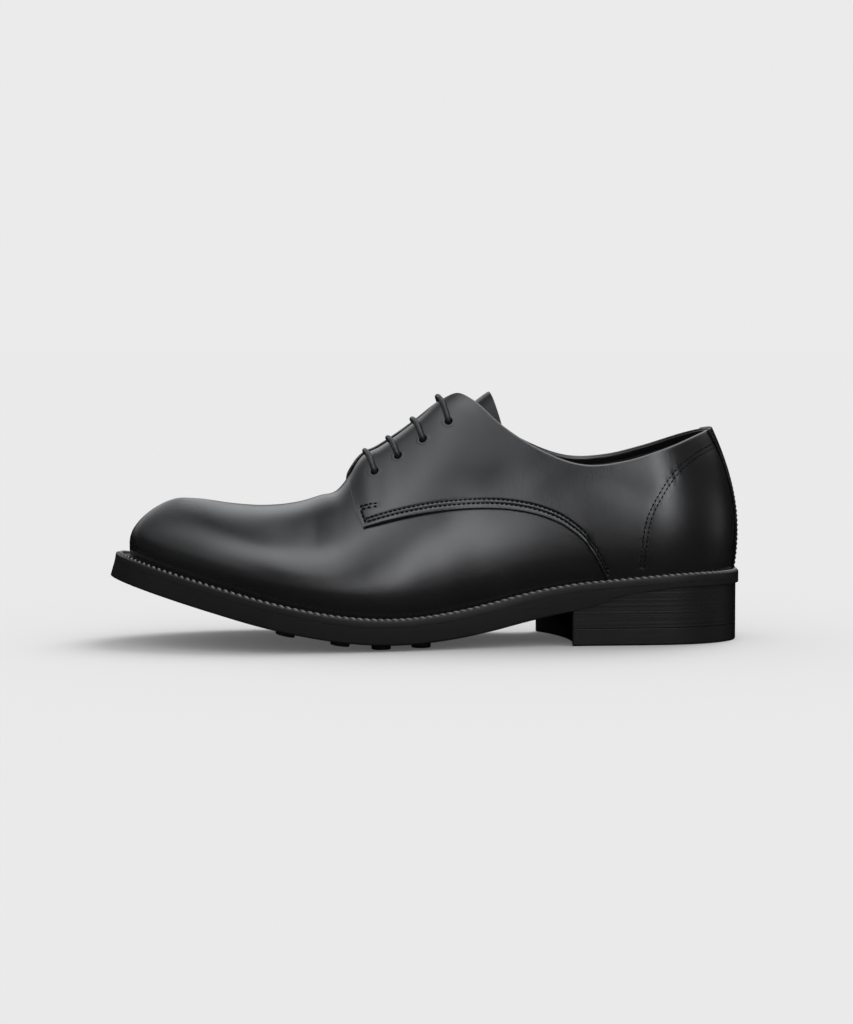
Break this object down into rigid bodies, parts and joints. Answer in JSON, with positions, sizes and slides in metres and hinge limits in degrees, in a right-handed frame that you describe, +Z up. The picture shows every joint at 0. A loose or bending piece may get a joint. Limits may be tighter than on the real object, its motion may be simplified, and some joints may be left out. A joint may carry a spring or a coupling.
{
  "type": "derby shoe",
  "caption": "Left derby shoe in black leather: hollow upper, open-laced quarters with straight lacing, welted rubber sole and block heel.",
  "frame": {"origin": "middle of the bounding box on the floor it stands on", "axes": "toe towards -Y, heel towards +Y, outer (lateral) side of the left foot towards +X, +Z up"},
  "size_m": [0.1081, 0.2996, 0.1183],
  "materials": {
    "leather": "smooth black calf, semi-gloss",
    "tongue_leather": "smooth black leather",
    "insole_leather": "plain dark leather",
    "welt_leather": "dyed, wheeled edge",
    "sole_rubber": "matt black",
    "heel_leather": "dyed stacked leather",
    "lift_rubber": "matt black",
    "lace_cord": "waxed round cord"
  },
  "bodies": {
    "root": {"upper": "leather", "quarter_lateral": "leather", "quarter_medial": "leather", "back_strip": "leather", "tongue": "tongue_leather", "insole": "insole_leather", "welt": "welt_leather", "outsole": "sole_rubber", "heel_block": "heel_leather", "top_lift": "lift_rubber", "lace_bar_1": "lace_cord", "lace_bar_2": "lace_cord", "lace_bar_3": "lace_cord", "lace_bar_4": "lace_cord"}
  },
  "joints": []
}
